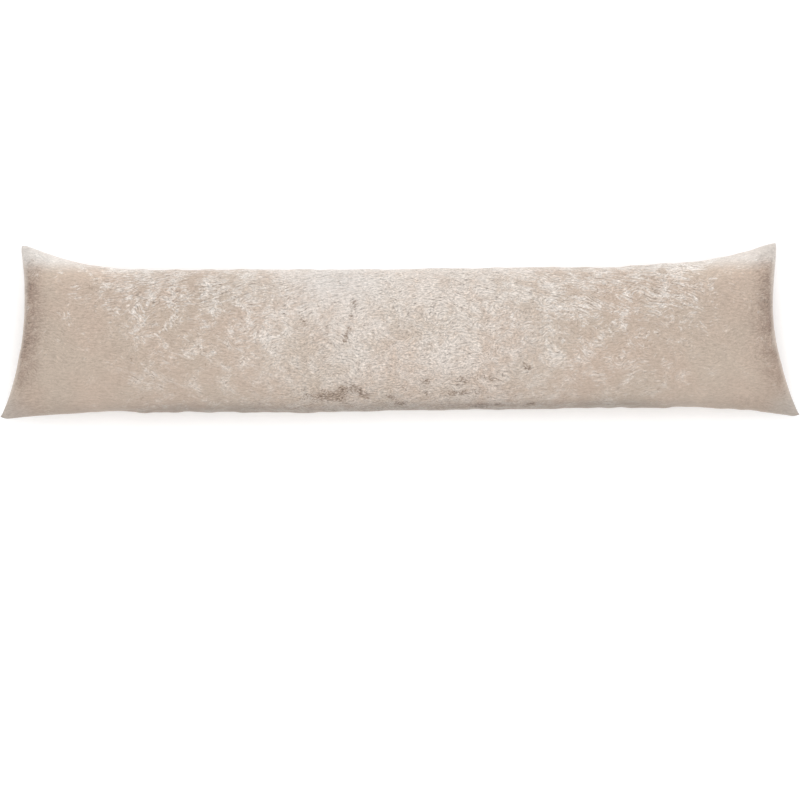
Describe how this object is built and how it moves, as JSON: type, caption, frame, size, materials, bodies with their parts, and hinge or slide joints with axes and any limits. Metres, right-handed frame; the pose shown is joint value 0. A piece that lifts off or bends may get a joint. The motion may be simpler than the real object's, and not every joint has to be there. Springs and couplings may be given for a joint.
{
  "type": "bolster cushion",
  "caption": "Long crushed velvet bolster cushion with four corner ears, lying on its back with its face up.",
  "frame": {"origin": "under the middle of the cushion's box, on the surface that it rests on", "axes": "+X along the bolster, +Y towards its upper long edge, +Z out of its face"},
  "size_m": [1.37, 0.3, 0.1759],
  "materials": {
    "velvet": "crushed velvet"
  },
  "bodies": {
    "root": {"bolster": "velvet"}
  },
  "joints": []
}
